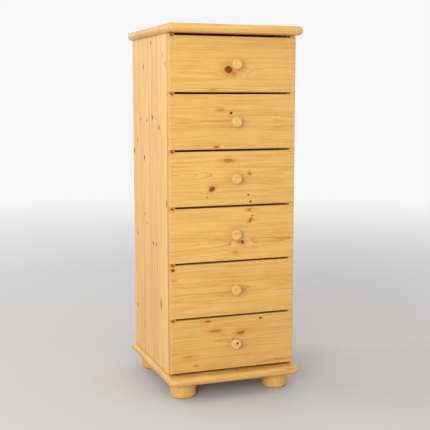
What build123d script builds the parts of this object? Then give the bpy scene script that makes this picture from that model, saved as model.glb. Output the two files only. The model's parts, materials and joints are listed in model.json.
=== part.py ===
"""Tall, narrow pine chest of six drawers.

A solid-pine carcass stands on four turned bun feet. The top and the base are two equal plates with
a full bullnose on the front and both sides. Six equal drawers with full-overlay fronts and turned
knobs slide on wooden runners screwed to the inside of the carcass.

Frame: origin at the centre of the footprint, on the floor; +Z up, +X to the right as the fronts are
faced, and the fronts look along -Y. All sizes are in millimetres.
"""
from build123d import *
import os

os.makedirs("parts", exist_ok=True)

# --- Driving dimensions -------------------------------------------------------------------------

drawer_count = 6

plate_width = 464
plate_depth = 482
plate_thickness = 28
nose_radius = 13.9            # just under half the plate's thickness: a full bullnose
plate_corner_radius = 27      # front corners, seen from above

side_thickness = 19
side_depth = 418
carcass_width = 432
carcass_height = 1100

foot_height = 52
foot_radius = 43.5
foot_bottom_radius = 33.5
foot_top_radius = 39.5
foot_rounding_height = 11     # from the floor to the end of the rounded lower edge
foot_shoulder = 4.5           # from the foot's top to the end of its rounded upper edge
foot_x = 164.5
foot_front_y = -164.5
foot_rear_y = 178.5

front_thickness = 22
front_height = 175.8          # without the ears
front_gap = 6.2               # between two drawer fronts
top_gap = 7.2                 # between the top plate and the first front
ear_width = 17.5              # ears on a front's upper edge close the ends of the gap above it
ear_height = 5.8
ear_setback = 3.5             # from the face
ear_corner_radius = 3
front_seam = 3                # between a front's back face and the edge of the side panel
front_edge_radius = 3
side_edge_radius = 1.5        # front edges of the side panels

box_width = 388
box_height = 140
box_lift = 15                 # a drawer box starts this far above its front's lower edge
box_side_thickness = 14
box_side_length = 400         # with the end that is housed in the front
box_back_thickness = 12
box_edge_radius = 2           # upper edges of the box sides and back
box_back_inset = 6            # from the rear end of the box sides to the box back
housing_depth = 10            # front's grooves that take the ends of the box sides
back_housing_depth = 4        # box sides' grooves that take the ends of the box back
bottom_thickness = 3
bottom_lift = 10              # from the box's lower edge to the drawer bottom
bottom_groove_depth = 5

runner_height = 17
runner_projection = 10
runner_front_setback = 11     # from the front edge of the side panel to the runner
runner_rear_setback = 9       # from the rear edge of the side panel to the runner
runner_groove_depth = 7.5
runner_clearance = 0.3        # above and below a runner in its groove
end_clearance = 0.5

knob_radius = 17.4
knob_widest = 27              # from the drawer's face to the widest section
knob_length = 34              # from the drawer's face to the rim of the dish
knob_neck = 9.8               # from the drawer's face to the narrowest section
knob_neck_radius = 7.5
knob_neck_hollow = 10         # radius of the hollow turned behind the head
knob_base_radius = 9
knob_dish_radius = 13
knob_dish = 0.8               # depth of the hollow in the knob's face

back_panel_thickness = 3
rebate_depth = 4
rebate_width = 9

joint_play = 0.1              # glued joints and panels in grooves
fastener_play = 0.05          # around the shank of every fastener

dowel_radius = 4
dowel_length = 40
cam_radius = 7.5
cam_depth = 12.4
cam_reach = 34                # from the end of a side panel to the cam's axis
cam_bolt_radius = 3
cam_bolt_depth = 11           # in the plate
foot_bolt_radius = 4
foot_bolt_depth = 22          # in the base plate and in the foot alike
runner_screw_radius = 1.75
runner_screw_head_radius = 3.6
runner_screw_length = 25
screw_recess_width = 0.9
runner_screw_recess = 4.2     # across the cross recess in the head
runner_screw_recess_depth = 1.4
knob_screw_radius = 2
knob_screw_head_radius = 4
knob_screw_head_height = 2.4
knob_screw_bite = 14          # in the knob
nail_radius = 0.8
nail_head_radius = 2
nail_head_height = 0.8
nail_length = 20
nail_pitch = 110              # nominal, along the sides of the back panel

# --- Heights and depths that follow from them ---------------------------------------------------

rear_y = plate_depth / 2
side_front_y = rear_y - side_depth
front_back_y = side_front_y - front_seam
face_y = front_back_y - front_thickness
side_centre_y = (side_front_y + rear_y) / 2

base_z = foot_height
carcass_z = base_z + plate_thickness
top_z = carcass_z + carcass_height
inner_x = carcass_width / 2 - side_thickness
side_mid_x = carcass_width / 2 - side_thickness / 2
panel_y = rear_y - rebate_depth

front_pitch = front_height + front_gap
box_half = box_width / 2
box_inner = box_half - box_side_thickness
box_front_y = front_back_y - housing_depth
box_rear_y = box_front_y + box_side_length
box_back_rear_y = box_rear_y - box_back_inset
box_back_front_y = box_back_rear_y - box_back_thickness
runner_front_y = side_front_y + runner_front_setback
runner_rear_y = rear_y - runner_rear_setback
runner_length = runner_rear_y - runner_front_y
runner_face_x = inner_x - runner_projection

feet = {
    "foot_front_left": (-foot_x, foot_front_y),
    "foot_front_right": (foot_x, foot_front_y),
    "foot_rear_left": (-foot_x, foot_rear_y),
    "foot_rear_right": (foot_x, foot_rear_y),
}
hands = {"left": -1, "right": 1}
dowel_ys = [side_centre_y + offset for offset in (-180, 0, 180)]
cam_ys = [side_centre_y + offset for offset in (-130, 130)]
runner_screw_ys = [side_front_y + offset for offset in (45, 212, 380)]


def front_bottom(number):
    """Height of the lower edge of a drawer front; drawer 1 is the highest."""
    return top_z - top_gap - number * front_pitch + front_gap


def runner_mid(number):
    """Height of the middle of a drawer's two runners, at half the height of its box."""
    return front_bottom(number) + box_lift + box_height / 2


def save(piece, name):
    piece.part.label = name
    export_step(piece.part, f"parts/{name}.step")


# --- Top and base plates ------------------------------------------------------------------------

def nosed_plate(underside_z):
    """A plate with a full bullnose on the front and both sides, square at the rear."""
    with BuildPart() as plate:
        with BuildSketch(Plane.XY.offset(underside_z)) as outline:
            Rectangle(plate_width, plate_depth)
            fillet(outline.vertices().group_by(Axis.Y)[0], plate_corner_radius)
        extrude(amount=plate_thickness)
        top_edges = plate.faces().sort_by(Axis.Z)[-1].edges()
        bottom_edges = plate.faces().sort_by(Axis.Z)[0].edges()
        fillet(top_edges.sort_by(Axis.Y)[:-1] + bottom_edges.sort_by(Axis.Y)[:-1], nose_radius)
    return plate.part


def plate_with_fittings(underside_z, carcass_face_z, inwards):
    """Adds the rebate for the back panel and the bores for dowels and cam bolts.

    inwards is +1 on the top plate and -1 on the base plate: the way into the wood.
    """
    with BuildPart() as plate:
        add(nosed_plate(underside_z))
        with BuildSketch(Plane.XY.offset(carcass_face_z)):
            with Locations((0, rear_y - rebate_depth / 2)):
                Rectangle(2 * (inner_x + rebate_width), rebate_depth)
        extrude(amount=inwards * rebate_width, mode=Mode.SUBTRACT)
        with BuildSketch(Plane.XY.offset(carcass_face_z)):
            with Locations([(hand * side_mid_x, y) for hand in hands.values() for y in dowel_ys]):
                Circle(dowel_radius + fastener_play)
        extrude(amount=inwards * (dowel_length / 2 + end_clearance), mode=Mode.SUBTRACT)
        with BuildSketch(Plane.XY.offset(carcass_face_z)):
            with Locations([(hand * side_mid_x, y) for hand in hands.values() for y in cam_ys]):
                Circle(cam_bolt_radius + fastener_play)
        extrude(amount=inwards * (cam_bolt_depth + end_clearance), mode=Mode.SUBTRACT)
    return plate.part


with BuildPart() as top_plate:
    add(plate_with_fittings(top_z, top_z, 1))
save(top_plate, "top_plate")

with BuildPart() as base_plate:
    add(plate_with_fittings(base_z, carcass_z, -1))
    with BuildSketch(Plane.XY.offset(base_z)):
        with Locations(list(feet.values())):
            Circle(foot_bolt_radius + fastener_play)
    extrude(amount=foot_bolt_depth + end_clearance, mode=Mode.SUBTRACT)
save(base_plate, "base_plate")

# --- Side panels --------------------------------------------------------------------------------

for hand_name, hand in hands.items():
    with BuildPart() as side_panel:
        with BuildSketch(Plane.XY.offset(carcass_z)):
            with Locations((hand * side_mid_x, side_centre_y)):
                Rectangle(side_thickness, side_depth)
        extrude(amount=carcass_height)
        front_edges = side_panel.edges().filter_by(Axis.Z).group_by(Axis.Y)[0]
        fillet(front_edges, side_edge_radius)
        # Rebate along the inner rear edge, for the back panel.
        with BuildSketch(Plane.XY.offset(carcass_z)):
            with Locations((hand * (inner_x + rebate_width / 2), rear_y - rebate_depth / 2)):
                Rectangle(rebate_width, rebate_depth)
        extrude(amount=carcass_height, mode=Mode.SUBTRACT)
        # Dowel and cam bolt bores in both ends.
        for end_z, inwards in ((carcass_z, 1), (top_z, -1)):
            with BuildSketch(Plane.XY.offset(end_z)):
                with Locations([(hand * side_mid_x, y) for y in dowel_ys]):
                    Circle(dowel_radius + fastener_play)
            extrude(amount=inwards * (dowel_length / 2 + end_clearance), mode=Mode.SUBTRACT)
            with BuildSketch(Plane.XY.offset(end_z)):
                with Locations([(hand * side_mid_x, y) for y in cam_ys]):
                    Circle(cam_bolt_radius + fastener_play)
            extrude(amount=inwards * cam_reach, mode=Mode.SUBTRACT)
            with BuildSketch(Plane.YZ.offset(hand * inner_x)):
                with Locations([(y, end_z + inwards * cam_reach) for y in cam_ys]):
                    Circle(cam_radius + fastener_play)
            extrude(amount=hand * (cam_depth + end_clearance), mode=Mode.SUBTRACT)
        # Pilot holes for the runner screws.
        screw_grip = runner_screw_length - runner_projection
        with BuildSketch(Plane.YZ.offset(hand * inner_x)):
            with Locations([(y, runner_mid(number + 1)) for number in range(drawer_count)
                            for y in runner_screw_ys]):
                Circle(runner_screw_radius + fastener_play)
        extrude(amount=hand * (screw_grip + end_clearance), mode=Mode.SUBTRACT)
        # Pilot holes for the nails of the back panel.
        nail_rows = round(carcass_height / nail_pitch)
        nail_zs = [carcass_z + carcass_height * (row + 0.5) / nail_rows for row in range(nail_rows)]
        with BuildSketch(Plane.XZ.offset(-panel_y)):
            with Locations([(hand * (inner_x + rebate_width / 2), z) for z in nail_zs]):
                Circle(nail_radius + fastener_play)
        extrude(amount=nail_length - back_panel_thickness + end_clearance, mode=Mode.SUBTRACT)
    save(side_panel, f"side_panel_{hand_name}")

# --- Back panel and its nails -------------------------------------------------------------------

nail_spots = [(hand * (inner_x + rebate_width / 2), z) for hand in hands.values() for z in nail_zs]

with BuildPart() as back_panel:
    with BuildSketch(Plane.XZ.offset(-panel_y)):
        with Locations((0, carcass_z + carcass_height / 2)):
            Rectangle(2 * (inner_x + rebate_width - end_clearance),
                      carcass_height + 2 * (rebate_width - end_clearance))
    extrude(amount=-back_panel_thickness)
    with BuildSketch(Plane.XZ.offset(-panel_y)):
        with Locations(nail_spots):
            Circle(nail_radius + fastener_play)
    extrude(amount=-back_panel_thickness, mode=Mode.SUBTRACT)
save(back_panel, "back_panel")

with BuildPart() as back_nails:
    with BuildSketch(Plane.XZ.offset(-panel_y - back_panel_thickness)):
        with Locations(nail_spots):
            Circle(nail_radius)
    extrude(amount=nail_length)
    with BuildSketch(Plane.XZ.offset(-panel_y - back_panel_thickness)):
        with Locations(nail_spots):
            Circle(nail_head_radius)
    extrude(amount=-nail_head_height)
save(back_nails, "back_nails")

# --- Dowels and cam fittings between the plates and the side panels -----------------------------

with BuildPart() as dowels:
    for joint_z in (carcass_z, top_z):
        with BuildSketch(Plane.XY.offset(joint_z)):
            with Locations([(hand * side_mid_x, y) for hand in hands.values() for y in dowel_ys]):
                Circle(dowel_radius)
        extrude(amount=dowel_length / 2, both=True)
    end_rings = dowels.edges().filter_by(GeomType.CIRCLE)
    chamfer(end_rings, 1)
save(dowels, "dowels")

cam_ends = ((carcass_z, 1), (top_z, -1))      # joint height and the way into the side panel
bolt_tip_setback = 3                          # the bolt stops this far short of the cam's axis

with BuildPart() as cam_bolts:
    for joint_z, inwards in cam_ends:
        with BuildSketch(Plane.XY.offset(joint_z - inwards * cam_bolt_depth)):
            with Locations([(hand * side_mid_x, y) for hand in hands.values() for y in cam_ys]):
                Circle(cam_bolt_radius)
        extrude(amount=inwards * (cam_bolt_depth + cam_reach - bolt_tip_setback))
save(cam_bolts, "cam_bolts")

with BuildPart() as cam_nuts:
    for joint_z, inwards in cam_ends:
        cam_z = joint_z + inwards * cam_reach
        for hand in hands.values():
            with BuildSketch(Plane.YZ.offset(hand * inner_x)):
                with Locations([(y, cam_z) for y in cam_ys]):
                    Circle(cam_radius)
            extrude(amount=hand * cam_depth)
            # Screwdriver slot in the face.
            with BuildSketch(Plane.YZ.offset(hand * inner_x)):
                with Locations([(y, cam_z) for y in cam_ys]):
                    Rectangle(1.6, 9)
                    Rectangle(9, 1.6)
            extrude(amount=hand * 1.5, mode=Mode.SUBTRACT)
        # Mouth that takes the bolt's end.
        with BuildSketch(Plane.XY.offset(cam_z)):
            with Locations([(hand * side_mid_x, y) for hand in hands.values() for y in cam_ys]):
                Circle(cam_bolt_radius + 2 * fastener_play)
        extrude(amount=-inwards * (cam_radius + 1), mode=Mode.SUBTRACT)
save(cam_nuts, "cam_nuts")

# --- Feet and their hanger bolts ----------------------------------------------------------------

# Ends of the barrel between the rounded edges; it bulges by half a millimetre.
shoulder = (foot_radius - 0.5, foot_height - foot_shoulder)
heel = (foot_radius - 0.5, foot_rounding_height)

for foot_name, (x, y) in feet.items():
    with BuildPart() as foot:
        with BuildSketch(Plane((x, y, 0), x_dir=(1, 0, 0), z_dir=(0, -1, 0))):
            with BuildLine():
                Polyline((foot_bottom_radius, 0), (0, 0), (0, foot_height), (foot_top_radius, foot_height))
                TangentArc((foot_top_radius, foot_height), shoulder, tangent=(1, 0))
                ThreePointArc(shoulder, (foot_radius, (shoulder[1] + heel[1]) / 2), heel)
                TangentArc((foot_bottom_radius, 0), heel, tangent=(1, 0))
            make_face()
        revolve(axis=Axis((x, y, 0), (0, 0, 1)))
        with BuildSketch(Plane.XY.offset(foot_height)):
            with Locations((x, y)):
                Circle(foot_bolt_radius + fastener_play)
        extrude(amount=-(foot_bolt_depth + end_clearance), mode=Mode.SUBTRACT)
    save(foot, foot_name)

with BuildPart() as foot_bolts:
    with BuildSketch(Plane.XY.offset(foot_height)):
        with Locations(list(feet.values())):
            Circle(foot_bolt_radius)
    extrude(amount=foot_bolt_depth, both=True)
    chamfer(foot_bolts.edges().filter_by(GeomType.CIRCLE), 1)
save(foot_bolts, "foot_bolts")

# --- Runners and their screws -------------------------------------------------------------------

runner_mids = [runner_mid(number + 1) for number in range(drawer_count)]

for hand_name, hand in hands.items():
    with BuildPart() as runners:
        with BuildSketch(Plane.YZ.offset(hand * inner_x)):
            with Locations([((runner_front_y + runner_rear_y) / 2, z) for z in runner_mids]):
                Rectangle(runner_length, runner_height)
        extrude(amount=-hand * runner_projection)
        inner_edges = runners.faces().filter_by(Axis.X).group_by(Axis.X)[0 if hand > 0 else -1].edges()
        chamfer(inner_edges, 0.8)
        with BuildSketch(Plane.YZ.offset(hand * inner_x)):
            with Locations([(y, z) for z in runner_mids for y in runner_screw_ys]):
                Circle(runner_screw_radius + fastener_play)
        extrude(amount=-hand * runner_projection, mode=Mode.SUBTRACT)
        with BuildSketch(Plane.YZ.offset(hand * runner_face_x)):
            with Locations([(y, z) for z in runner_mids for y in runner_screw_ys]):
                Circle(runner_screw_head_radius + 2 * fastener_play)
        extrude(amount=hand * runner_screw_head_radius, taper=45, mode=Mode.SUBTRACT)
    save(runners, f"runners_{hand_name}")

with BuildPart() as runner_screws:
    for hand in hands.values():
        with BuildSketch(Plane.YZ.offset(hand * runner_face_x)):
            with Locations([(y, z) for z in runner_mids for y in runner_screw_ys]):
                Circle(runner_screw_radius)
        extrude(amount=hand * runner_screw_length)
        with BuildSketch(Plane.YZ.offset(hand * runner_face_x)):
            with Locations([(y, z) for z in runner_mids for y in runner_screw_ys]):
                Circle(runner_screw_head_radius)
        extrude(amount=hand * (runner_screw_head_radius - runner_screw_radius), taper=45)
        with BuildSketch(Plane.YZ.offset(hand * runner_face_x)):
            with Locations([(y, z) for z in runner_mids for y in runner_screw_ys]):
                Rectangle(runner_screw_recess, screw_recess_width)
                Rectangle(screw_recess_width, runner_screw_recess)
        extrude(amount=hand * runner_screw_recess_depth, mode=Mode.SUBTRACT)
save(runner_screws, "runner_screws")

# --- Drawers ------------------------------------------------------------------------------------
# Where the neck's hollow runs smoothly into the round back of the knob's head: the head's back is an
# arc whose radius is chosen so that it touches the hollow's arc.
neck_reach = knob_widest - knob_neck
head_drop = knob_radius - knob_neck_radius
head_back_radius = (neck_reach**2 + head_drop**2 - 2 * head_drop * knob_neck_hollow) / (2 * head_drop)
hollow_share = knob_neck_hollow / (knob_neck_hollow + head_back_radius)
head_root = (knob_neck + hollow_share * neck_reach,
             knob_neck_radius + hollow_share * head_drop)


def build_drawer(number):
    """The seven pieces of one drawer, each saved under the drawer's number."""
    name = f"drawer_{number}"
    front_z = front_bottom(number)
    front_mid_z = front_z + front_height / 2
    box_z = front_z + box_lift
    box_mid_z = box_z + box_height / 2
    bottom_z = box_z + bottom_lift

    with BuildPart() as front:
        with BuildSketch(Plane.XZ.offset(-front_back_y)):
            with Locations((0, front_mid_z)):
                Rectangle(carcass_width, front_height)
        extrude(amount=front_thickness)
        fillet(front.faces().sort_by(Axis.Y)[0].edges(), front_edge_radius)
        # An ear at each end of the upper edge nearly touches the front above.
        with BuildSketch(Plane.XZ.offset(-front_back_y)):
            with Locations([(hand * (carcass_width - ear_width) / 2, front_mid_z + ear_height / 2)
                            for hand in hands.values()]):
                Rectangle(ear_width, front_height + ear_height)
        extrude(amount=front_thickness - ear_setback)
        ear_tops = front.faces().filter_by(Axis.Z).group_by(Axis.Z)[-1]
        inner_corners = ear_tops.edges().filter_by(Axis.Y).group_by(lambda edge: abs(edge.center().X))[0]
        fillet(inner_corners, ear_corner_radius)
        # Grooves that take the ends of the box sides.
        with BuildSketch(Plane.XZ.offset(-front_back_y)):
            with Locations([(hand * (box_half - box_side_thickness / 2), box_mid_z)
                            for hand in hands.values()]):
                Rectangle(box_side_thickness + 2 * joint_play, box_height + 2 * joint_play)
        extrude(amount=housing_depth + joint_play, mode=Mode.SUBTRACT)
        # Groove for the drawer bottom.
        with BuildSketch(Plane.XZ.offset(-front_back_y)):
            with Locations((0, bottom_z + bottom_thickness / 2)):
                Rectangle(2 * box_inner, bottom_thickness + 2 * joint_play)
        extrude(amount=bottom_groove_depth + joint_play, mode=Mode.SUBTRACT)
        with BuildSketch(Plane.XZ.offset(-front_back_y)):
            with Locations((0, front_mid_z)):
                Circle(knob_screw_radius + 2 * fastener_play)
        extrude(amount=front_thickness, mode=Mode.SUBTRACT)
    save(front, f"{name}_front")

    for hand_name, hand in hands.items():
        with BuildPart() as box_side:
            with BuildSketch(Plane.YZ.offset(hand * box_inner)):
                with Locations(((box_front_y + box_rear_y) / 2, box_mid_z)):
                    Rectangle(box_side_length, box_height)
            extrude(amount=hand * box_side_thickness)
            fillet(box_side.faces().sort_by(Axis.Z)[-1].edges().filter_by(Axis.Y), box_edge_radius)
            # Runner groove on the outer face, closed at the front end as the drawer's stop.
            groove_front_y = runner_front_y - end_clearance
            with BuildSketch(Plane.YZ.offset(hand * box_half)):
                with Locations(((groove_front_y + box_rear_y) / 2, runner_mid(number))):
                    Rectangle(box_rear_y - groove_front_y, runner_height + 2 * runner_clearance)
            extrude(amount=-hand * runner_groove_depth, mode=Mode.SUBTRACT)
            # Groove for the bottom and housing for the box back, both on the inner face.
            with BuildSketch(Plane.YZ.offset(hand * box_inner)):
                with Locations(((front_back_y + box_back_rear_y) / 2, bottom_z + bottom_thickness / 2)):
                    Rectangle(box_back_rear_y - front_back_y + 2 * housing_depth,
                              bottom_thickness + 2 * joint_play)
            extrude(amount=hand * (bottom_groove_depth + joint_play), mode=Mode.SUBTRACT)
            with BuildSketch(Plane.YZ.offset(hand * box_inner)):
                with Locations(((box_back_front_y + box_back_rear_y) / 2, box_mid_z)):
                    Rectangle(box_back_thickness + 2 * joint_play, box_height)
            extrude(amount=hand * (back_housing_depth + joint_play), mode=Mode.SUBTRACT)
        save(box_side, f"{name}_side_{hand_name}")

    with BuildPart() as box_back:
        with BuildSketch(Plane.YZ.offset(-box_inner - back_housing_depth)):
            with Locations(((box_back_front_y + box_back_rear_y) / 2, box_mid_z)):
                Rectangle(box_back_thickness, box_height)
        extrude(amount=2 * (box_inner + back_housing_depth))
        fillet(box_back.faces().sort_by(Axis.Z)[-1].edges().filter_by(Axis.X), box_edge_radius)
        with BuildSketch(Plane.XZ.offset(-box_back_front_y)):
            with Locations((0, bottom_z + bottom_thickness / 2)):
                Rectangle(box_width, bottom_thickness + 2 * joint_play)
        extrude(amount=-(bottom_groove_depth + joint_play), mode=Mode.SUBTRACT)
    save(box_back, f"{name}_back")

    with BuildPart() as bottom:
        bottom_front_y = front_back_y - bottom_groove_depth
        bottom_rear_y = box_back_front_y + bottom_groove_depth
        with BuildSketch(Plane.XY.offset(bottom_z)):
            with Locations((0, (bottom_front_y + bottom_rear_y) / 2)):
                Rectangle(2 * (box_inner + bottom_groove_depth), bottom_rear_y - bottom_front_y)
            # The panel's front edge enters the front between the ends of the box sides.
            with Locations([(hand * (box_inner + bottom_groove_depth / 2), bottom_front_y)
                            for hand in hands.values()]):
                Rectangle(bottom_groove_depth + 2 * joint_play, 2 * bottom_groove_depth,
                          mode=Mode.SUBTRACT)
        extrude(amount=bottom_thickness)
    save(bottom, f"{name}_bottom")

    knob_plane = Plane((0, face_y, front_mid_z), x_dir=(0, -1, 0), z_dir=(-1, 0, 0))
    knob_axis = Axis((0, face_y, front_mid_z), (0, -1, 0))
    dish_bottom = knob_length - knob_dish
    with BuildPart() as knob:
        with BuildSketch(knob_plane):
            with BuildLine():
                # Along x: distance from the drawer's face; along y: radius.
                Polyline((dish_bottom, 0), (0, 0), (0, knob_base_radius), (1.5, knob_base_radius))
                TangentArc((knob_neck, knob_neck_radius), (1.5, knob_base_radius), tangent=(-1, 0))
                TangentArc((knob_neck, knob_neck_radius), head_root, tangent=(1, 0))
                TangentArc((knob_widest, knob_radius), head_root, tangent=(-1, 0))
                TangentArc((knob_widest, knob_radius), (knob_length, knob_dish_radius), tangent=(1, 0))
                TangentArc((dish_bottom, 0), (knob_length, knob_dish_radius), tangent=(0, 1))
            make_face()
        revolve(axis=knob_axis)
        rim = knob.edges().filter_by(GeomType.CIRCLE).sort_by(Axis.Y)[0]
        fillet(rim, 1)
        with BuildSketch(Plane.XZ.offset(-face_y)):
            with Locations((0, front_mid_z)):
                Circle(knob_screw_radius + fastener_play)
        extrude(amount=knob_screw_bite + end_clearance, mode=Mode.SUBTRACT)
    save(knob, f"{name}_knob")

    with BuildPart() as knob_screw:
        with BuildSketch(Plane.XZ.offset(-front_back_y)):
            with Locations((0, front_mid_z)):
                Circle(knob_screw_radius)
        extrude(amount=front_thickness + knob_screw_bite)
        with BuildSketch(Plane.XZ.offset(-front_back_y)):
            with Locations((0, front_mid_z)):
                Circle(knob_screw_head_radius)
        extrude(amount=-knob_screw_head_height)
        head_rim = knob_screw.edges().filter_by(GeomType.CIRCLE).sort_by(Axis.Y)[-1]
        fillet(head_rim, 1.2)
        with BuildSketch(Plane.XZ.offset(-front_back_y - knob_screw_head_height)):
            with Locations((0, front_mid_z)):
                Rectangle(1, 4.4)
                Rectangle(4.4, 1)
        extrude(amount=1.2, mode=Mode.SUBTRACT)
    save(knob_screw, f"{name}_knob_screw")


for drawer in range(drawer_count):
    build_drawer(drawer + 1)
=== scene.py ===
"""Tall pine chest of six drawers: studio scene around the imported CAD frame.

Lengths in the scene are metres. The wood materials work in board coordinates in millimetres:
x runs along the grain, y across the face and z through the board.
"""
import json
import math
import random

import bpy
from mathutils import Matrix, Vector

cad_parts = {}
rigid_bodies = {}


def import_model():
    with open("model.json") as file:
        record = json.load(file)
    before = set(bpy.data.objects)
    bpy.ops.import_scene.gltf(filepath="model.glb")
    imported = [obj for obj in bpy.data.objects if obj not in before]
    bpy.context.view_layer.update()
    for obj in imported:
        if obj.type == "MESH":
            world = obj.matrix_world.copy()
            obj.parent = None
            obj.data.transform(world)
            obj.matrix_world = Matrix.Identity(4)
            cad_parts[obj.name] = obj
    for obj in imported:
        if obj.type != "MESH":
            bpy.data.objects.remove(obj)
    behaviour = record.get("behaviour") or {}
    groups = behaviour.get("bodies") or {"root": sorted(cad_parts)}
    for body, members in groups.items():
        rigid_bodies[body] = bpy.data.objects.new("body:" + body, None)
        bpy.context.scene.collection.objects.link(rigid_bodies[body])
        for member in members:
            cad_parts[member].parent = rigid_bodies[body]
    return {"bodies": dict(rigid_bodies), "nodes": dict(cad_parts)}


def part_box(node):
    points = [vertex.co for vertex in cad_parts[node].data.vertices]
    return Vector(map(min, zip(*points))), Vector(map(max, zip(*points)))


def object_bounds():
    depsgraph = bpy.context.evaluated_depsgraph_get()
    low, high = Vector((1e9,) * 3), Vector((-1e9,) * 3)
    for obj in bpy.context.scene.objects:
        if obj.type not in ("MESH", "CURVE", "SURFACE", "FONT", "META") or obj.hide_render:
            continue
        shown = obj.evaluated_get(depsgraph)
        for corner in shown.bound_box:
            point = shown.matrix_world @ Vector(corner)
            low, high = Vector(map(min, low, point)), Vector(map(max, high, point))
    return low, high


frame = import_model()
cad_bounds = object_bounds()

NODES = frame["nodes"]
SCENE = bpy.context.scene
DRAWERS = [name for name in frame["bodies"] if name.startswith("drawer_")]
MM = 1000.0


# --- Node-tree shorthand --------------------------------------------------------------------------

class Net:
    """Builds one node tree. A method named after what it makes returns the output sockets."""

    def __init__(self, tree):
        self.tree = tree

    def node(self, kind, **settings):
        made = self.tree.nodes.new(kind)
        for key, value in settings.items():
            setattr(made, key, value)
        return made

    def put(self, socket, value):
        """Links an output socket, or sets a constant."""
        if isinstance(value, bpy.types.NodeSocket):
            self.tree.links.new(value, socket)
        elif value is not None:
            socket.default_value = value

    def math(self, operation, a, b=None, c=None, clamp=False):
        made = self.node("ShaderNodeMath", operation=operation, use_clamp=clamp)
        for socket, value in zip(made.inputs, (a, b, c)):
            self.put(socket, value)
        return made.outputs[0]

    def vector(self, operation, a, b=None, scale=None):
        made = self.node("ShaderNodeVectorMath", operation=operation)
        self.put(made.inputs[0], a)
        self.put(made.inputs[1], b)
        self.put(made.inputs[3], scale)
        return made.outputs[1 if operation in ("LENGTH", "DOT_PRODUCT") else 0]

    def split(self, value):
        made = self.node("ShaderNodeSeparateXYZ")
        self.put(made.inputs[0], value)
        return made.outputs[0], made.outputs[1], made.outputs[2]

    def join(self, x, y, z):
        made = self.node("ShaderNodeCombineXYZ")
        for socket, value in zip(made.inputs, (x, y, z)):
            self.put(socket, value)
        return made.outputs[0]

    def noise(self, position, scale, detail=2.0, roughness=0.5):
        """Noise, about 0.5 on average; scale is one number, or one for each axis."""
        if isinstance(scale, tuple):
            position = self.vector("MULTIPLY", position, scale)
        else:
            position = self.vector("SCALE", position, scale=scale)
        made = self.node("ShaderNodeTexNoise", noise_dimensions="3D")
        self.put(made.inputs["Vector"], position)
        made.inputs["Scale"].default_value = 1.0
        made.inputs["Detail"].default_value = detail
        made.inputs["Roughness"].default_value = roughness
        return made.outputs["Fac"]

    def random(self, value):
        """A random value and a random colour for each different input value."""
        made = self.node("ShaderNodeTexWhiteNoise", noise_dimensions="1D")
        self.put(made.inputs["W"], value)
        return made.outputs["Value"], made.outputs["Color"]

    def remap(self, value, low, high, to_low=0.0, to_high=1.0, kind="SMOOTHSTEP"):
        made = self.node("ShaderNodeMapRange", interpolation_type=kind)
        self.put(made.inputs["Value"], value)
        self.put(made.inputs["From Min"], low)
        self.put(made.inputs["From Max"], high)
        self.put(made.inputs["To Min"], to_low)
        self.put(made.inputs["To Max"], to_high)
        return made.outputs["Result"]

    def mix(self, factor, a, b, blend="MIX"):
        made = self.node("ShaderNodeMix", data_type="RGBA", blend_type=blend)
        self.put(made.inputs[0], factor)        # the sockets of its colour form: factor, A, B
        self.put(made.inputs[6], a)
        self.put(made.inputs[7], b)
        return made.outputs[2]

    def steps(self, value, stops):
        """A grey ramp of steps: stops are (place from 0 to 1, grey)."""
        made = self.node("ShaderNodeValToRGB")
        made.color_ramp.interpolation = "CONSTANT"
        ramp = made.color_ramp.elements
        while len(ramp) < len(stops):
            ramp.new(0.5)
        for element, (place, grey) in zip(ramp, stops):
            element.position = place
            element.color = (grey, grey, grey, 1.0)
        self.put(made.inputs[0], value)
        return made.outputs["Color"]

    def bump(self, shader, height, strength, distance):
        """Roughens a shader's surface; distance is in metres."""
        made = self.node("ShaderNodeBump")
        made.inputs["Strength"].default_value = strength
        made.inputs["Distance"].default_value = distance
        self.put(made.inputs["Height"], height)
        self.put(shader.inputs["Normal"], made.outputs["Normal"])

    def group(self, tree, **inputs):
        made = self.node("ShaderNodeGroup", node_tree=tree)
        for name, value in inputs.items():
            self.put(made.inputs[name.replace("_", " ")], value)
        return made.outputs


def new_group(name, inputs, outputs):
    """An empty node group with its Net, its input sockets and its output node."""
    tree = bpy.data.node_groups.new(name, "ShaderNodeTree")
    kinds = {"f": "NodeSocketFloat", "v": "NodeSocketVector", "c": "NodeSocketColor"}
    for direction, sockets in (("INPUT", inputs), ("OUTPUT", outputs)):
        for socket_name, kind in sockets.items():
            tree.interface.new_socket(socket_name, in_out=direction, socket_type=kinds[kind])
    net = Net(tree)
    source = net.node("NodeGroupInput").outputs
    sink = net.node("NodeGroupOutput").inputs
    return net, source, sink


def new_material(name):
    """A material with its Net and its shader node."""
    material = bpy.data.materials.new(name)
    material.use_nodes = True
    net = Net(material.node_tree)
    return material, net, net.tree.nodes["Principled BSDF"]


def linear(red, green, blue):
    """Linear colour of an sRGB colour given from 0 to 255."""
    return tuple(((c / 255 + 0.055) / 1.055) ** 2.4 if c > 10 else c / 255 / 12.92
                 for c in (red, green, blue)) + (1.0,)


# --- Solid wood -----------------------------------------------------------------------------------

EARLY_WOOD = linear(214, 171, 96)
LATE_WOOD = linear(174, 102, 26)
STREAK_WOOD = linear(196, 144, 68)
CLOUD_WOOD = linear(218, 174, 98)
HALO_WOOD = linear(190, 122, 48)
KNOT_WOOD = linear(124, 56, 8)
KNOT_RED = linear(144, 72, 20)
KNOT_BARK = linear(96, 40, 4)
KNOT_DARK = linear(70, 26, 2)

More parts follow.
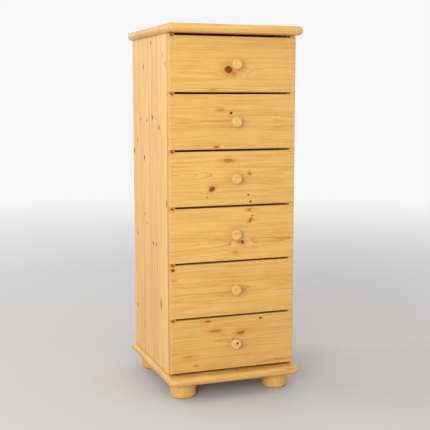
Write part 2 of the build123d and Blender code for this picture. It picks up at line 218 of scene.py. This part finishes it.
# Noise in the wood: scale along the grain, scale across it (both per mm), detail and roughness.
LAYERS = {
    "ragged": (0.35, 0.35, 2.0, 0.5),       # a knot's outline
    "wander": (0.0025, 0.009, 1.0, 0.5),    # the stem's slow bends
    "ripple": (0.012, 0.08, 2.0, 0.5),      # fine waves in the rings
    "fibre": (0.03, 1.6, 3.0, 0.6),
    "band": (0.004, 0.34, 2.0, 0.6),
    "streak": (0.006, 0.13, 3.0, 0.55),
    "cloud": (0.012, 0.03, 2.0, 0.5),
    "canals": (0.16, 2.6, 1.0, 0.5),        # resin canals
    "stripe": (0.0015, 0.07, 1.0, 0.5),
    "trail": (0.03, 0.35, 2.0, 0.5),        # the frayed ends of a knot's halo
    "mottle": (0.35, 0.7, 3.0, 0.5),        # inside a knot
}
WANDER_MM = 12.0
RIPPLE_MM = 2.4
YEARS_SCALE = (0.045, 1.0, 1.0)             # along a radius, then a free place for each board
YEARS_SPREAD = 5.0                          # rings that wide and narrow years come to

# What each layer multiplies the wood's colour by, at its low end and its high end.
FIBRE_SHADE = (0.91, 1.07)
BAND_SHADE = (0.93, 1.05)
TICK_SHADE = (1.0, 0.80)
TONE_SHADE = (0.90, 1.07)
STRIPE_SHADE = (-1.0, 0.8)                  # times the board's Stripes, added to 1

# Darker wood is also redder: the red channel follows the shade less, and the blue more.
WARM_RED = 0.85
WARM_BLUE = 1.35

HALO_REACH = 2.9                            # knot radii
KNOT_RING = 4.2                             # radians of a knot's own rings per mm
GRAIN_PUSH = -0.75                          # share of the flow round a solid cylinder, outwards
GRAIN_REACH = 7.0                           # knot radii, beyond which the grain runs straight


def layer(net, position, name):
    along, across, detail, roughness = LAYERS[name]
    return net.noise(position, (along, across, across), detail, roughness)


def knot_group():
    """One branch through the board.

    It bends the grain round itself and passes on the facts of the nearest knot. Near is the
    distance from that knot's centre, as a multiple of its radius.
    """
    net, source, sink = new_group(
        "knot",
        {"Place": "v", "Flow": "v", "Near": "f", "Dark": "f", "Size": "f",
         "Centre": "v", "Radius": "f", "Stretch": "f", "Lean": "f", "Darkness": "f"},
        {"Flow": "v", "Near": "f", "Dark": "f", "Size": "f"})
    offset = net.vector("SUBTRACT", source["Place"], source["Centre"])
    along, across, deep = net.split(offset)
    # The branch leans along the grain as it goes deeper.
    along = net.math("SUBTRACT", along, net.math("MULTIPLY", deep, source["Lean"]))
    skewed = net.math("ADD", along, net.math("MULTIPLY", across, source["Lean"]))
    narrowed = net.math("DIVIDE", skewed, source["Stretch"])
    distance = net.vector("LENGTH", net.join(narrowed, across, 0.0))
    distance = net.math("DIVIDE", distance, source["Radius"])
    ragged = layer(net, source["Place"], "ragged")
    distance = net.math("MULTIPLY", distance, net.remap(ragged, 0.25, 0.75, 0.78, 1.22, "LINEAR"))

    # Grain streams round the knot as water does round a stone, reaching further along than across.
    long_way = net.math("DIVIDE", skewed, net.math("MULTIPLY", source["Stretch"], 2.1))
    reach = net.vector("LENGTH", net.join(long_way, across, 0.0))
    reach = net.math("DIVIDE", reach, source["Radius"])
    squared = net.math("MULTIPLY", reach, reach)
    push = net.math("DIVIDE", across, net.math("MAXIMUM", squared, 1.0))
    push = net.math("MULTIPLY", push, net.remap(reach, GRAIN_REACH, 1.5, 0.0, GRAIN_PUSH))
    lift = net.math("EXPONENT", net.math("MULTIPLY", squared, -0.3))
    lift = net.math("MULTIPLY", lift, net.math("MULTIPLY", source["Radius"], 1.1))
    net.put(sink["Flow"], net.vector("ADD", source["Flow"], net.join(0.0, push, lift)))

    nearer = net.math("LESS_THAN", distance, source["Near"])
    net.put(sink["Near"], net.math("MINIMUM", distance, source["Near"]))
    for name, own in (("Dark", source["Darkness"]), ("Size", source["Radius"])):
        change = net.math("MULTIPLY", nearer, net.math("SUBTRACT", own, source[name]))
        net.put(sink[name], net.math("ADD", source[name], change))
    return net.tree


def pine_group():
    """Growth rings round a pith line that runs almost along the board, with fibres and knots."""
    net, source, sink = new_group(
        "pine",
        {"Place": "v", "Flow": "v", "Near": "f", "Dark": "f", "Size": "f", "Normal": "v",
         "Pith Y": "f", "Pith Z": "f", "Rise": "f", "Ring": "f", "Shift": "f", "Tone": "f",
         "Figure": "f", "Stripes": "f"},
        {"Colour": "c", "Height": "f", "Gloss": "f"})
    x, y, z = net.split(source["Flow"])
    shifted = net.join(net.math("ADD", x, source["Shift"]), y, z)

    # The stem's slow bends, then finer ones.
    wander = layer(net, shifted, "wander")
    wander = net.math("MULTIPLY", net.math("SUBTRACT", wander, 0.5), WANDER_MM)
    ripple = layer(net, shifted, "ripple")
    ripple = net.math("MULTIPLY", net.math("SUBTRACT", ripple, 0.5), RIPPLE_MM)
    pith_z = net.math("ADD", source["Pith Z"], net.math("MULTIPLY", x, source["Rise"]))
    from_pith = net.join(0.0, net.math("SUBTRACT", y, source["Pith Y"]),
                         net.math("SUBTRACT", z, pith_z))
    radius = net.math("ADD", net.vector("LENGTH", from_pith), net.math("ADD", wander, ripple))

    # Years of wide and narrow growth.
    years = net.noise(net.join(radius, source["Shift"], 0.0), YEARS_SCALE, detail=1.0)
    age = net.math("DIVIDE", radius, source["Ring"])
    age = net.math("ADD", age, net.math("MULTIPLY", years, YEARS_SPREAD))
    season = net.math("FRACT", age)
    year_random, _ = net.random(net.math("FLOOR", age))
    late = net.math("MULTIPLY", net.remap(season, 0.55, 0.92),
                    net.remap(season, 1.0, 0.94))
    strength = net.remap(year_random, 0.0, 1.0, 0.2, 0.95, "LINEAR")
    strength = net.math("MULTIPLY", strength, strength)
    late = net.math("MULTIPLY", late, strength)

    # Fibres, bands and streaks along the grain, cloudy shimmer, and the dark ticks of resin canals.
    fibre, band, streak, cloud, canals = (
        layer(net, shifted, name) for name in ("fibre", "band", "streak", "cloud", "canals"))
    tick = net.remap(canals, 0.70, 0.78)

    figure = net.math("MULTIPLY", late, source["Figure"])
    colour = net.mix(figure, EARLY_WOOD, LATE_WOOD)
    colour = net.mix(net.remap(streak, 0.35, 0.7, 0.0, 0.75), colour, STREAK_WOOD)
    colour = net.mix(net.remap(cloud, 0.3, 0.7, 0.0, 0.35), colour, CLOUD_WOOD)
    shade = net.remap(fibre, 0.25, 0.75, *FIBRE_SHADE, "LINEAR")
    shade = net.math("MULTIPLY", shade, net.remap(band, 0.3, 0.7, *BAND_SHADE, "LINEAR"))
    stripe = net.remap(layer(net, shifted, "stripe"), 0.3, 0.7, *STRIPE_SHADE, "LINEAR")
    stripe = net.math("MULTIPLY", stripe, source["Stripes"])
    shade = net.math("MULTIPLY", shade, net.math("ADD", stripe, 1.0))
    shade = net.math("MULTIPLY", shade, net.remap(tick, 0.0, 1.0, *TICK_SHADE, "LINEAR"))
    shade = net.math("MULTIPLY", shade, net.remap(source["Tone"], 0.0, 1.0, *TONE_SHADE, "LINEAR"))
    warm_shade = net.join(net.math("MULTIPLY_ADD", shade, WARM_RED, 1 - WARM_RED), shade,
                          net.math("MULTIPLY_ADD", shade, WARM_BLUE, 1 - WARM_BLUE))
    colour = net.mix(1.0, colour, warm_shade, "MULTIPLY")

    # Knots: a warm halo that trails along the grain, a dark ring of bark, and a ringed brown core.
    # A Dark below 0 is how faint the knot is, and its edge is then streaky.
    trail = layer(net, shifted, "trail")
    halo = net.math("MULTIPLY", net.remap(source["Near"], HALO_REACH, 0.95),
                    net.remap(trail, 0.3, 0.65, 0.2, 0.65))
    presence = net.remap(source["Dark"], -1.0, 0.0, 0.1, 1.0, "LINEAR")
    colour = net.mix(halo, colour, HALO_WOOD)
    mottle = layer(net, source["Place"], "mottle")
    edge = net.math("MULTIPLY_ADD", net.math("SUBTRACT", mottle, 0.5), 0.5, source["Near"])
    faint = net.math("MULTIPLY", net.math("SUBTRACT", 1.0, presence), 3.0)
    edge = net.math("MULTIPLY_ADD", net.math("SUBTRACT", 0.5, trail), faint, edge)
    core = net.math("MULTIPLY", net.remap(edge, 1.12, 0.82), presence)
    near_mm = net.math("MULTIPLY", source["Near"], source["Size"])
    knot_rings = net.math("SINE", net.math("MULTIPLY", near_mm, KNOT_RING))
    knot_shade = net.math("MULTIPLY_ADD", knot_rings, 0.10, mottle)
    knot_colour = net.mix(net.remap(knot_shade, 0.3, 0.7), KNOT_WOOD, KNOT_RED)
    knot_colour = net.mix(net.math("MAXIMUM", source["Dark"], 0.0), knot_colour, KNOT_DARK)
    bark = net.remap(net.math("ABSOLUTE", net.math("SUBTRACT", source["Near"], 0.93)), 0.12, 0.0)
    knot_colour = net.mix(net.math("MULTIPLY", bark, 0.45), knot_colour, KNOT_BARK)
    pith_dot = net.remap(source["Near"], 0.22, 0.08)
    knot_colour = net.mix(net.math("MULTIPLY", pith_dot, 0.4), knot_colour, KNOT_BARK)
    colour = net.mix(core, colour, knot_colour)

    # End grain drinks more lacquer: darker and duller.
    along_normal, _, _ = net.split(source["Normal"])
    end_grain = net.remap(net.math("ABSOLUTE", along_normal), 0.72, 0.97)
    colour = net.mix(net.math("MULTIPLY", end_grain, 0.1), colour, LATE_WOOD)

    net.put(sink["Colour"], colour)
    height = net.math("MULTIPLY_ADD", late, 0.5, net.math("MULTIPLY", fibre, 0.5))
    height = net.math("SUBTRACT", height, net.math("MULTIPLY", tick, 0.6))
    net.put(sink["Height"], net.math("SUBTRACT", height, net.math("MULTIPLY", bark, core)))
    gloss = net.math("ADD", net.math("MULTIPLY", late, -0.06), net.math("MULTIPLY", cloud, 0.10))
    gloss = net.math("ADD", gloss, net.math("MULTIPLY", end_grain, 0.1))
    net.put(sink["Gloss"], net.math("ADD", gloss, net.math("MULTIPLY", core, -0.08)))
    return net.tree


KNOT = knot_group()
PINE = pine_group()

GRAIN_AXES = {          # board x, y, z as object axes
    "X": ((1, 0, 0), (0, 0, 1), (0, 1, 0)),      # along X on an upright face
    "XY": ((1, 0, 0), (0, 1, 0), (0, 0, 1)),     # along X on a level face
    "Y": ((0, 1, 0), (0, 0, 1), (1, 0, 0)),      # along Y on an upright face
    "Z": ((0, 0, 1), (0, 1, 0), (1, 0, 0)),      # along Z on a face that looks along X
}


def turn_to_board(net, value, grain):
    """A vector in object axes as one in board axes."""
    rows = [net.vector("DOT_PRODUCT", value, axis) for axis in GRAIN_AXES[grain]]
    return net.join(*rows)


NO_KNOTS = (20.0, 0.0, 5.0)             # Near, Dark and Size before the first knot
STAVE_DEPTHS = (-110.0, -25.0)          # mm, where a stave's pith may lie
STAVE_SHIFT = 5000.0                    # mm along the grain, so that no two staves are alike
GLUE_LINE = (0.45, 0.1)                 # mm from the line, where it begins and is full
SEAM_SHADE_MM = (2.8, 1.3)                      # mm from the edge, where painted shade in the seam begins and is full
WOOD_BUMP = (0.35, 0.00025)             # strength, metres


def wood(name, centre, grain, knots=(), face=0.0, staves=(), tones=(), half_width=100.0,
         pith=(0.0, -60.0), rise=0.02, ring=3.2, figure=0.85, stripes=0.0, seed=0.0, tone=0.5,
         roughness=0.34, specular=0.4, tint=None, seam_shade_edge=None):
    """A pine material for one board.

    centre is the board's middle in metres, and the rest is in millimetres from it. knots are
    (x, y, radius, stretch, lean, darkness) on the face, whose depth is face. staves are the places
    of the glue lines across the board, and tones the staves' own, from 0 to 1. pith is its (y, z),
    rise its slope, and ring a year's growth. tint is (share, colour), off the knots. The last
    argument is the (y, z) of a long edge along which painted shade darkens the wood, for the seam's
    shadow.
    """
    material, net, shader = new_material(name)
    coordinates = net.node("ShaderNodeTexCoord").outputs
    from_centre = net.vector("SUBTRACT", coordinates["Object"], tuple(centre))
    place = net.vector("SCALE", turn_to_board(net, from_centre, grain), scale=MM)
    normal = turn_to_board(net, coordinates["Normal"], grain)

    flow = place
    near, dark, size = NO_KNOTS
    for x, y, radius, stretch, lean, darkness in knots:
        made = net.group(KNOT, Place=place, Flow=flow, Near=near, Dark=dark, Size=size,
                         Centre=(x, y, face), Radius=radius, Stretch=stretch, Lean=lean,
                         Darkness=darkness)
        flow, near, dark, size = made["Flow"], made["Near"], made["Dark"], made["Size"]

    pith_y, pith_z = pith
    shift, stave_tone = seed, tone
    glue = None
    if staves:
        _, across, _ = net.split(place)
        scaled = net.remap(across, -half_width, half_width, 0.0, 1.0, "LINEAR")
        edges = [0.0] + [(line + half_width) / (2 * half_width) for line in staves]
        stops = [(edge, (index + 0.5) / (len(edges) + 1)) for index, edge in enumerate(edges)]
        stave = net.steps(scaled, stops)
        one, colours = net.random(net.math("ADD", stave, seed))
        red, green, blue = net.split(colours)
        pith_y = net.remap(red, 0.0, 1.0, -half_width, half_width, "LINEAR")
        pith_z = net.remap(green, 0.0, 1.0, *STAVE_DEPTHS, "LINEAR")
        shift = net.math("MULTIPLY_ADD", blue, STAVE_SHIFT, seed)
        stave_tone = net.steps(scaled, list(zip(edges, tones))) if tones else one
        for line in staves:
            gap = net.math("ABSOLUTE", net.math("SUBTRACT", across, line))
            here = net.remap(gap, *GLUE_LINE)
            glue = here if glue is None else net.math("MAXIMUM", glue, here)

    made = net.group(PINE, Place=place, Flow=flow, Near=near, Dark=dark, Size=size, Normal=normal,
                     Pith_Y=pith_y, Pith_Z=pith_z, Rise=rise, Ring=ring, Shift=shift,
                     Tone=stave_tone, Figure=figure, Stripes=stripes)
    colour = made["Colour"]
    if glue is not None:
        colour = net.mix(net.math("MULTIPLY", glue, 0.3), colour, LATE_WOOD)
    if tint is not None:
        share, tint_colour = tint
        off_knots = net.remap(near, 0.8, 1.3)
        colour = net.mix(net.math("MULTIPLY", off_knots, share), colour, tint_colour)
    # Painted shade: darker wood along one long edge, standing in for the shadow in the seam between
    # a side panel and the drawer fronts.
    if seam_shade_edge is not None:
        _, across, deep = net.split(place)
        from_shaded_edge = net.vector("LENGTH", net.join(0.0, net.math("SUBTRACT", across, seam_shade_edge[0]),
                                                   net.math("SUBTRACT", deep, seam_shade_edge[1])))
        colour = net.mix(net.remap(from_shaded_edge, *SEAM_SHADE_MM, 0.0, 0.6), colour, KNOT_BARK)
    net.put(shader.inputs["Base Color"], colour)
    shader.inputs["Specular IOR Level"].default_value = specular
    net.put(shader.inputs["Roughness"], net.math("ADD", made["Gloss"], roughness, clamp=True))
    net.bump(shader, made["Height"], *WOOD_BUMP)
    return material


def middle(node):
    low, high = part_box(node)
    return (low + high) / 2


def half_size(node):
    """Half of a node's box, in millimetres."""
    low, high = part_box(node)
    return (high - low) / 2 * MM


def wear(node, material):
    """Gives a CAD node one material."""
    mesh = NODES[node].data
    mesh.materials.clear()
    mesh.materials.append(material)


def scattered_knots(seed, half_length, half_width, count):
    """Small knots for a board whose own aren't known, always the same for a seed."""
    draw = random.Random(seed)
    return [(draw.uniform(-half_length, half_length), draw.uniform(-half_width, half_width),
             draw.uniform(1.5, 6.0), draw.uniform(1.0, 1.7), draw.uniform(-0.4, 0.4),
             draw.choice((-0.6, -0.3, 0.2))) for _ in range(count)]


# --- Drawer fronts --------------------------------------------------------------------------------

# For each front: its knots (x, y, radius, stretch, lean, darkness) from the knob's middle, its pith
# (y, z), rise, seed and tone. A darkness below 0 is a faint knot.
FRONTS = {
    1: ([(-19, -17, 12.2, 1.12, 0.16, 0.0), (-3, -29, 6.5, 1.5, 0.2, -0.7),
         (-75, -80, 3.0, 4.0, 0.0, -0.85)], (-30, -62), 0.02, 310, 0.5),
    2: ([(-10, 28, 4.6, 0.95, 0.0, 1.0), (-46, 38, 5.0, 2.2, 0.0, -0.8),
         (-59, -80, 4.2, 2.4, 0.1, -0.3)], (2, -46), -0.018, 820, 0.5),
    3: ([(-75, -33, 8.8, 1.1, -0.45, 0.1), (-19, 57, 5.6, 3.0, 0.2, -0.55),
         (55, 14, 5.0, 1.2, 0.3, -0.45), (-92, -59, 2.2, 1.0, 0.0, 0.5),
         (51, -56, 2.8, 1.0, 0.0, 0.8), (59, -78, 3.4, 1.0, 0.0, 0.6)],
        (12, -50), -0.02, 1450, 0.6),
    4: ([(59, 43, 7.4, 0.66, -0.5, -0.2), (66, 58, 2.4, 1.0, 0.0, 0.0),
         (31, -29, 5.8, 1.1, 0.0, 0.0), (20, -29, 3.6, 2.0, 0.0, -0.7),
         (56, 77, 4.6, 2.0, 0.0, -0.5), (7, -63, 5.0, 1.8, 0.0, -0.9)],
        (-27, -48), -0.018, 2270, 0.65),
    5: ([(-208, 74, 5.6, 1.15, 0.0, 0.1), (-206, 40, 2.4, 3.0, 0.0, -0.85)],
        (2, -50), -0.016, 3110, 0.5),
    # The bottom front's tone of 0.1 is painted shade: it is darker as the light falls off towards
    # the floor.
    6: ([(-89, 78, 3.8, 2.8, 0.1, -0.25), (97, 75, 3.2, 1.5, 0.0, 0.2),
         (-64, 44, 6.4, 3.0, 0.2, -0.6), (28, 31, 6.4, 2.2, -0.7, -0.3),
         (0, 11, 2.6, 1.3, 0.0, -0.4), (-158, -35, 4.0, 3.6, 0.1, -0.9),
         (-131, -68, 2.4, 1.8, 0.0, -0.8), (165, -73, 2.6, 13.0, 0.0, -0.75),
         (92, -78, 2.0, 11.0, 0.0, -0.8)], (10, -56), 0.012, 4030, 0.1),
}
CORNER_MARK = (-208.0, 88.5, 5.4, 1.2, 0.0, -0.2)       # a dark mark at each front's upper left corner, drawn as a knot
FRONT_FACE = -11.0                                      # mm, from mid thickness to the face
FRONT_SHINE = 0.25


def dress_fronts():
    for number, (knots, pith, rise, seed, tone) in FRONTS.items():
        node = f"drawer_{number}_front"
        centre = middle(node)
        centre.z = middle(f"drawer_{number}_knob").z
        wear(node, wood(node + "_pine", centre, "X", knots=knots + [CORNER_MARK], pith=pith,
                        rise=rise, seed=seed, ring=3.0, tone=tone, face=FRONT_FACE,
                        specular=FRONT_SHINE))


# --- Plates and side panels -----------------------------------------------------------------------

# The left panel's knots are in their places; the right panel's and most others are made up.
SIDE_KNOTS = [
    (528, -26, 5.6, 1.1, 0.2, 0.0), (455, 67, 4.4, 1.6, 0.2, -0.1),
    (484, -164, 3.6, 2.4, 0.0, -0.3), (455, -190, 4.0, 1.4, 0.0, 0.2),
    (276, 106, 5.0, 1.1, 0.0, -0.2), (274, 28, 4.4, 1.0, 0.0, 0.0),
    (284, -39, 6.2, 1.2, -0.4, 0.1), (254, -117, 5.4, 1.3, 0.0, 0.3),
    (202, 153, 3.8, 2.6, 0.0, -0.2), (162, 194, 6.4, 1.3, 0.0, 0.2),
    (145, 63, 6.6, 1.3, -0.3, 0.3), (12, -196, 5.0, 1.7, 0.0, 0.2),
    (-52, 64, 4.0, 1.3, 0.0, 0.1), (-80, 37, 4.4, 0.9, 0.0, 0.1),
    (-132, 160, 5.0, 1.1, 0.0, 0.1), (-140, -37, 5.8, 1.0, 0.0, 0.3),
    (-139, -73, 4.8, 1.1, 0.0, 0.0), (-398, 175, 5.0, 1.1, 0.0, 0.0),
    (-332, -126, 5.2, 2.8, 0.0, 0.1),
]
PANEL_GLUE = (-140, -78, -15, 68, 140)
PANEL_TONES = (0.85, 0.5, 0.3, 0.6, 0.2, 0.65)
# Paler side panels: partly the wood's own tone, partly painted reflection of the bright room seen
# at a glancing angle.
PANEL_PALE_AND_SHEEN = (0.17, linear(240, 202, 164))
PANEL_SHINE = 0.06
PLATES = {      # seed and the knots in their places
    "top_plate": (5, [(-217, -225, 2.8, 1.2, 0.0, 0.2)]),
    "base_plate": (31, [(-212, 184, 3.4, 1.6, 0.0, -0.1), (14, -203, 2.6, 2.4, 0.0, -0.1)]),
}
PLATE_GLUE = (-168, -92, -12, 74, 150)


def dress_carcass():
    for node, side, knots, seed in (
            ("side_panel_left", -1, SIDE_KNOTS, 12),
            ("side_panel_right", 1, scattered_knots(7, 520, 200, 14), 57)):
        half = half_size(node)
        face = side * half.x
        # Each panel gets painted seam shade along its front outer edge, next to the drawer fronts.
        wear(node, wood(node + "_pine", middle(node), "Z", knots=knots, seed=seed, ring=2.6,
                        half_width=half.y, staves=PANEL_GLUE, tones=PANEL_TONES, rise=0.012,
                        figure=0.85, stripes=0.2, specular=PANEL_SHINE, tint=PANEL_PALE_AND_SHEEN,
                        face=face, seam_shade_edge=(-half.y, face)))
    for node, (seed, own_knots) in PLATES.items():
        knots = own_knots + scattered_knots(seed, 210, 225, 8)
        wear(node, wood(node + "_pine", middle(node), "XY", knots=knots, seed=seed, ring=3.0,
                        half_width=half_size(node).y, staves=PLATE_GLUE, rise=0.012, figure=1.0))


# The bottom knob has a knot near its middle and a dark mark on its lower right rim, both drawn as
# knots.
KNOB_KNOTS = {"drawer_6": [(2.3, 5.0, 4.0, 1.0, 0.0, 0.7), (11, -10, 2.8, 1.0, 0.0, 0.0)]}
KNOB_PALE = (0.15, linear(226, 190, 118))


def dress_turnings():
    """Feet and knobs, each cut from another place in the tree."""
    feet = [node for node in NODES if node.startswith("foot_") and node != "foot_bolts"]
    for index, node in enumerate(feet):
        wear(node, wood(node + "_pine", middle(node), "XY",
                        pith=(12.0 - 9 * index, -40.0 - 7 * index), rise=0.05, ring=2.6,
                        seed=900 + 130 * index, figure=1.25))
    for index, drawer in enumerate(DRAWERS):
        node = drawer + "_knob"
        wear(node, wood(node + "_pine", middle(node), "X", knots=KNOB_KNOTS.get(drawer, ()),
                        pith=(3.0, -32.0 + index), rise=0.05, ring=2.6,
                        seed=1500 + 75 * index, figure=0.4, tint=KNOB_PALE))


# --- Drawer boxes, runners and dowels -------------------------------------------------------------

BARE_PINE = dict(figure=0.7, roughness=0.55, tint=(0.35, linear(226, 200, 156)))
BEECH = dict(figure=0.25, roughness=0.5, tint=(0.6, linear(190, 146, 104)))
BOX_BOARDS = ((0, "_side_left", "Y"), (70, "_side_right", "Y"), (140, "_back", "X"))


def dress_boxes():
    for index, drawer in enumerate(DRAWERS):
        for offset, board, grain in BOX_BOARDS:
            node = drawer + board
            seed = 5000 + 310 * index + offset
            wear(node, wood(node + "_pine", middle(node), grain, seed=seed,
                            knots=scattered_knots(seed, 170, 60, 3),
                            pith=(20.0 - 11 * index, -45.0), rise=0.02, **BARE_PINE))
    for node, grain in (("runners_left", "Y"), ("runners_right", "Y"), ("dowels", "Z")):
        wear(node, wood(node + "_beech", middle(node), grain, seed=8000, pith=(0.0, -70.0),
                        **BEECH))


# --- Hardboard and fittings -----------------------------------------------------------------------

BOARD_DARK = linear(118, 82, 52)
BOARD_LIGHT = linear(150, 108, 72)
BOARD_FLECK = linear(88, 58, 36)
BOARD_BLOTCH = linear(138, 96, 60)
BOARD_BUMP = (0.5, 0.0002)              # strength, metres

STEEL = linear(196, 196, 190)
CAST_ZINC = linear(168, 168, 166)
SPANGLE = linear(150, 150, 146)


def object_mm(net):
    """The place on the object, in millimetres."""
    return net.vector("SCALE", net.node("ShaderNodeTexCoord").outputs["Object"], scale=MM)


def hardboard():
    """Brown pressed fibre: flecks and a fine felted surface."""
    material, net, shader = new_material("hardboard")
    place = object_mm(net)
    felt = net.noise(place, 0.9, detail=6.0, roughness=0.65)
    fleck = net.noise(place, 0.28, detail=4.0, roughness=0.6)
    blotch = net.noise(place, 0.012)
    colour = net.mix(net.remap(felt, 0.35, 0.65), BOARD_DARK, BOARD_LIGHT)
    colour = net.mix(net.remap(fleck, 0.62, 0.72, 0.0, 0.6), colour, BOARD_FLECK)
    colour = net.mix(net.remap(blotch, 0.3, 0.7, 0.0, 0.35), colour, BOARD_BLOTCH)
    net.put(shader.inputs["Base Color"], colour)
    net.put(shader.inputs["Roughness"], net.remap(felt, 0.3, 0.7, 0.55, 0.75))
    net.bump(shader, felt, *BOARD_BUMP)
    return material


def metal(name, tone, roughness):
    """Plated steel or cast zinc, faintly mottled and brushed."""
    material, net, shader = new_material(name)
    place = object_mm(net)
    spangle = net.noise(place, 0.8, detail=3.0)
    scratch = net.noise(place, (6.0, 0.6, 6.0))
    colour = net.mix(net.remap(spangle, 0.35, 0.65), tone, SPANGLE)
    net.put(shader.inputs["Base Color"], colour)
    net.put(shader.inputs["Roughness"],
            net.remap(scratch, 0.3, 0.7, roughness - 0.08, roughness + 0.1))
    shader.inputs["Metallic"].default_value = 1.0
    return material


def dress_hardware():
    board = hardboard()
    plated = metal("zinc_steel", STEEL, 0.32)
    for node in ("back_nails", "cam_bolts", "foot_bolts", "runner_screws"):
        wear(node, plated)
    wear("back_panel", board)
    for drawer in DRAWERS:
        wear(drawer + "_bottom", board)
        wear(drawer + "_knob_screw", plated)
    wear("cam_nuts", metal("cast_zinc", CAST_ZINC, 0.45))


# --- Floor, light and camera ----------------------------------------------------------------------

FLOOR_REACH = 6.0                       # metres, from the chest to where the floor has faded out
FLOOR_FULL = 1.0                        # metres, within which it hasn't begun to
FLOOR_GREY = linear(190, 189, 188)
STUDIO_WHITE = linear(246, 246, 247)

# Large soft lamps: name, place and diameter in metres, and watts. The key is to the left of the
# front, one is above the left panel, and one behind on the left puts a sheen along it.
LAMPS = (("key", (-2.6, -3.5, 1.5), 1.9, 112.0),
         ("side", (-2.9, 0.9, 3.0), 2.0, 27.0),
         ("sheen", (-1.7, 3.4, 1.9), 1.6, 12.0))

CAMERA_PLACE = (-1.0424, -2.8943, 0.9794)
CAMERA_DOWN = 7.47                      # degrees below level
CAMERA_RIGHT = 19.96                    # degrees to the right of +Y
CAMERA_LENS = 74.85
CAMERA_SENSOR = 36.0


def floor_paint():
    """Pale grey paint that fades into the white of the studio far from the chest."""
    material, net, shader = new_material("floor_paint")
    shader.inputs["Base Color"].default_value = FLOOR_GREY
    shader.inputs["Roughness"].default_value = 0.8
    distance = net.vector("LENGTH", net.node("ShaderNodeTexCoord").outputs["Object"])
    net.put(shader.inputs["Alpha"], net.remap(distance, FLOOR_REACH, FLOOR_FULL))
    return material


def studio():
    low, high = cad_bounds
    floor_mesh = bpy.data.meshes.new("floor")
    floor_mesh.from_pydata([(x * FLOOR_REACH, y * FLOOR_REACH, low[2])
                            for x, y in ((-1, -1), (1, -1), (1, 1), (-1, 1))], [], [(0, 1, 2, 3)])
    floor = bpy.data.objects.new("floor", floor_mesh)
    SCENE.collection.objects.link(floor)
    floor_mesh.materials.append(floor_paint())

    world = bpy.data.worlds.new("studio")
    world.use_nodes = True
    background = world.node_tree.nodes["Background"]
    background.inputs["Color"].default_value = STUDIO_WHITE
    background.inputs["Strength"].default_value = 1.0
    SCENE.world = world

    aim = (Vector(low) + Vector(high)) / 2
    for name, place, size, power in LAMPS:
        lamp = bpy.data.lights.new(name, "AREA")
        lamp.shape = "DISK"
        lamp.size = size
        lamp.energy = power
        lamp_object = bpy.data.objects.new(name, lamp)
        lamp_object.location = place
        lamp_object.rotation_euler = (aim - Vector(place)).to_track_quat("-Z", "Y").to_euler()
        lamp_object.visible_camera = False
        SCENE.collection.objects.link(lamp_object)


def camera():
    eye = bpy.data.cameras.new("camera")
    eye.sensor_width = CAMERA_SENSOR
    eye.lens = CAMERA_LENS
    holder = bpy.data.objects.new("camera", eye)
    holder.location = CAMERA_PLACE
    holder.rotation_euler = (math.radians(90 - CAMERA_DOWN), 0.0, math.radians(-CAMERA_RIGHT))
    SCENE.collection.objects.link(holder)
    SCENE.camera = holder


SCENE.view_settings.view_transform = "Standard"
dress_fronts()
dress_carcass()
dress_turnings()
dress_boxes()
dress_hardware()
studio()
camera()

bpy.context.view_layer.update()
